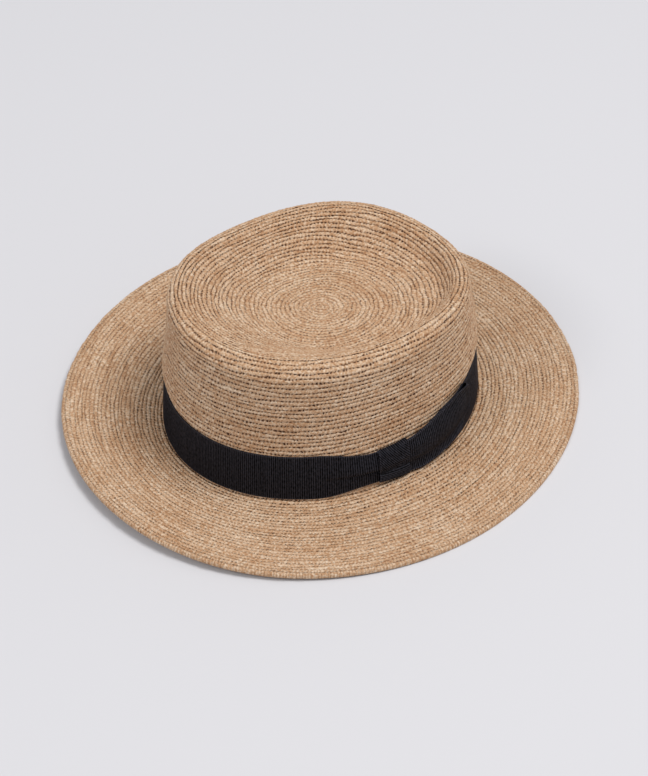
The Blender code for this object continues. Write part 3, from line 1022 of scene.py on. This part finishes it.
def close_ends(bm):
    """Closes the cut ends of a rolled ribbon."""
    ends = [edge for edge in bm.edges if edge.is_boundary]
    bmesh.ops.holes_fill(bm, edges=ends, sides=0)
    bmesh.ops.recalc_face_normals(bm, faces=bm.faces)


walk = np.linspace(-1.0, 2.0, 3001)
walk_step = np.hypot((HEAD_WIDTH / 2 + STRAW_WALL) * np.sin(walk + KNOT_ANGLE),
                     (HEAD_LENGTH / 2 + STRAW_WALL) * np.cos(walk + KNOT_ANGLE)) * (walk[1] - walk[0])
walk_length = np.cumsum(walk_step)
walk_length -= np.interp(0.0, walk, walk_length)


def angle_after(length):
    """The angle that lies a length round from the knot's middle."""
    return KNOT_ANGLE + np.interp(length, walk_length, walk)


def bow_point(length, up, off):
    """Points a length round from the knot's middle, at a height above the brim, off the band's outer face."""
    length, up, off = np.broadcast_arrays(length, up, off)
    return side_point(angle_after(length), up, CLEARANCE + RIBBON_THICKNESS + off)[0]


end_height = RIBBON_WIDTH * (LOOP_STATIONS[-1, 1] - LOOP_STATIONS[-1, 2])
print("loop is", round(end_height * 1000, 1), "mm high at its end")

# %% [markdown]
# The grid of the loop follows its path: out along the band, round the fold, and back. The fold is rounder at
# its top, where the loop stands open, and the corners of its end are cut round. The outer ply puffs out, the
# edge of the ply below it flares outwards, and two soft pleats run from the knot into the loop.

# %% Loop
LOOP_LENGTH = 0.0600
LOOP_TUCK = 0.0040
LOOP_SHARES = (0, 0.02, 0.06, 0.12, 0.2, 0.28, 0.36, 0.44, 0.52, 0.6, 0.68, 0.76, 0.84, 0.92, 0.98, 1.0)
PLY_GAP = 0.0010
PLY_CLEARANCE = 0.0002
ROLL_GROWTH = 0.22
OPEN_STEP = (0.80, 0.20)
UNDER_DROP = 0.03
TOP_CORNER = 0.44
LOW_CORNER = 0.035
LOW_CORNER_REACH = 0.15
PLEAT_DEPTH = 0.0006
PLEAT_REACH = 0.45
PLEATS = 2.2
PLEAT_START = 0.15
PUFF = 0.0022
PUFF_LOW = 0.17
PUFF_HIGH = 0.25
PUFF_LIFT = 0.0004
FLARE = 0.0019
FLARE_REACH = 0.09
FREE_REACH = 0.25


def filled(share, reach):
    """Rises quickly from 0 to nearly 1, over about a reach."""
    return 1 - np.exp(-(share / reach) ** 1.5)


ply = LOOP_LENGTH + LOOP_TUCK
round_off = RIBBON_THICKNESS + PLY_GAP / 2
fold_length = math.pi * round_off
path_length = 2 * ply + fold_length
loop_ribs = round(path_length / RIB_PITCH)
path = np.linspace(0, path_length, loop_ribs * RIB_COLUMNS + 1)[None, :]
share, outer = both_faces(LOOP_SHARES)
going = path < ply
coming = path > ply + fold_length
turned = np.clip((path - ply) / fold_length, 0, 1)
reach = np.where(going, path / ply, np.where(coming, (path_length - path) / ply, 1.0))
opened = step_at(reach, OPEN_STEP)

lower = at_station("lower", reach) * turned + at_station("under", reach) * (1 - turned)
upper = at_station("upper", reach) - UNDER_DROP * (1 - turned) * (1 - opened)
up = BAND_LIFT + RIBBON_WIDTH * (lower + (upper - lower) * share)
round_off = round_off * (1 + ROLL_GROWTH * share ** 3)
short = TOP_CORNER * np.maximum(share - 0.5, 0) ** 2 + LOW_CORNER * np.exp(-share / LOW_CORNER_REACH)
length = (ply * reach + round_off * np.sin(math.pi * turned)) * (1 - short * reach ** 3)
length = length + KNOT_LENGTH / 2 - LOOP_TUCK

flat_off = CLEARANCE + 2 * CLOTH_THICKNESS + PLY_CLEARANCE
off = np.where(going, CLEARANCE, CLEARANCE + round_off * (1 - np.cos(math.pi * turned)))
off = np.where(coming, flat_off + (CLEARANCE + 2 * round_off - flat_off) * opened, off)
rib = np.sin(2 * math.pi * loop_ribs * path / path_length)
inward = np.where(going, 1.0, np.where(coming, -1.0, np.cos(math.pi * turned)))
off = off + inward * ((1 - outer) * CLOTH_THICKNESS - outer * RIB_HEIGHT * rib)
pleats = np.cos(2 * math.pi * (PLEATS * share + PLEAT_START)) * 0.5 - 0.5
off = off - coming * PLEAT_DEPTH * eased(1 - reach / PLEAT_REACH) * pleats
free = eased(reach / FREE_REACH) * (1 - opened)
off = off + coming * free * (PUFF_LIFT + PUFF * filled(share, PUFF_LOW) * filled(1 - share, PUFF_HIGH))
off = off + (1 - coming) * free * FLARE * np.exp(-share / FLARE_REACH)

places = bow_point(length, up, off)
bm = rolled_grid(places, loop_ribs * path / path_length + 0 * share, share + 0 * path, merge=1e-7)
close_ends(bm)
loop = new_piece("ribbon_loop", bm, grosgrain, "bow_loop")
print("loop", round(path_length * 1000), "mm long with", loop_ribs, "ribs")

# %% [markdown]
# The knot is a short length of the ribbon that is wrapped over the loop's root and the gathered band. It is
# narrower at its left. A crease runs over its front. The ribs slant above it and run along it below.

# %% Knot
KNOT_COLUMNS = 54
KNOT_ROWS = 96
KNOT_LAP = 0.0005
KNOT_TAPER = 0.10
KNOT_CLEARANCE = 0.0012
KNOT_SQUARE = 0.42
KNOT_ENDS = 0.12
KNOT_RIB = 0.0012
KNOT_RIB_SLOPE = 1.30
KNOT_RIB_TURN = 0.12
KNOT_SHIFT = 0.0012
KNOT_CREASE = 0.0019

# the crease's place and width as shares of the height, and how both change from its left to its right
CREASE_PLACE = (0.37, 0.08)
CREASE_CHANGE = (0.04, 0.03)
CREASE_RIDGE = 0.35
CREASE_RIDGE_PLACE = (0.2, 0.16)
CREASE_GROWTH = (0.75, 0.5)
RIB_TURN_REACH = 0.06

path = np.linspace(-0.5, 0.5, KNOT_COLUMNS + 1)[None, :]
turn = np.linspace(0, math.pi, KNOT_ROWS)
turn = np.concatenate([turn, turn[::-1], turn[:1]])[:, None]
outer = np.concatenate([np.ones(KNOT_ROWS), np.zeros(KNOT_ROWS), [1.0]])[:, None]
height = (BAND_END_WIDTH + 2 * KNOT_LAP) * (1 + KNOT_TAPER * path)
low = BAND_LIFT + (RIBBON_WIDTH - height) / 2
front = CLEARANCE + 3 * CLOTH_THICKNESS + KNOT_CLEARANCE
swell = 1 - KNOT_ENDS * (2 * path) ** 4
across = np.sign(np.cos(turn)) * np.abs(np.cos(turn)) ** KNOT_SQUARE
rise = np.abs(np.sin(turn)) ** KNOT_SQUARE
share = (1 - across) / 2

valley = CREASE_PLACE[0] + CREASE_CHANGE[0] * path
crease = hill_at(share - valley, (0, CREASE_PLACE[1] + CREASE_CHANGE[1] * path))
crease = crease - CREASE_RIDGE * hill_at(share - valley, CREASE_RIDGE_PLACE)
above = eased((share - valley) / RIB_TURN_REACH + 0.5)
along = KNOT_LENGTH * path * (KNOT_RIB_SLOPE - KNOT_RIB_TURN * path) * above
rib_number = (height * share + along) / (KNOT_RIB * (1 + (math.hypot(1, KNOT_RIB_SLOPE) - 1) * above))

up = low + height * share + (1 - outer) * CLOTH_THICKNESS * across
off = -RIBBON_THICKNESS + (front + RIBBON_THICKNESS) * rise * swell - (1 - outer) * CLOTH_THICKNESS * rise
off = off - KNOT_CREASE * crease * rise * (CREASE_GROWTH[0] + CREASE_GROWTH[1] * path)
off = off + outer * RIB_HEIGHT * np.sin(2 * math.pi * rib_number)
places = bow_point(KNOT_SHIFT + KNOT_LENGTH * path + 0 * turn, up, off)
bm = rolled_grid(places, rib_number, path + 0.5 + 0 * turn, merge=1e-7)
close_ends(bm)
knot = new_piece("ribbon_knot", bm, grosgrain, "bow_knot")
print("knot", round(KNOT_LENGTH * 1000), "mm long")
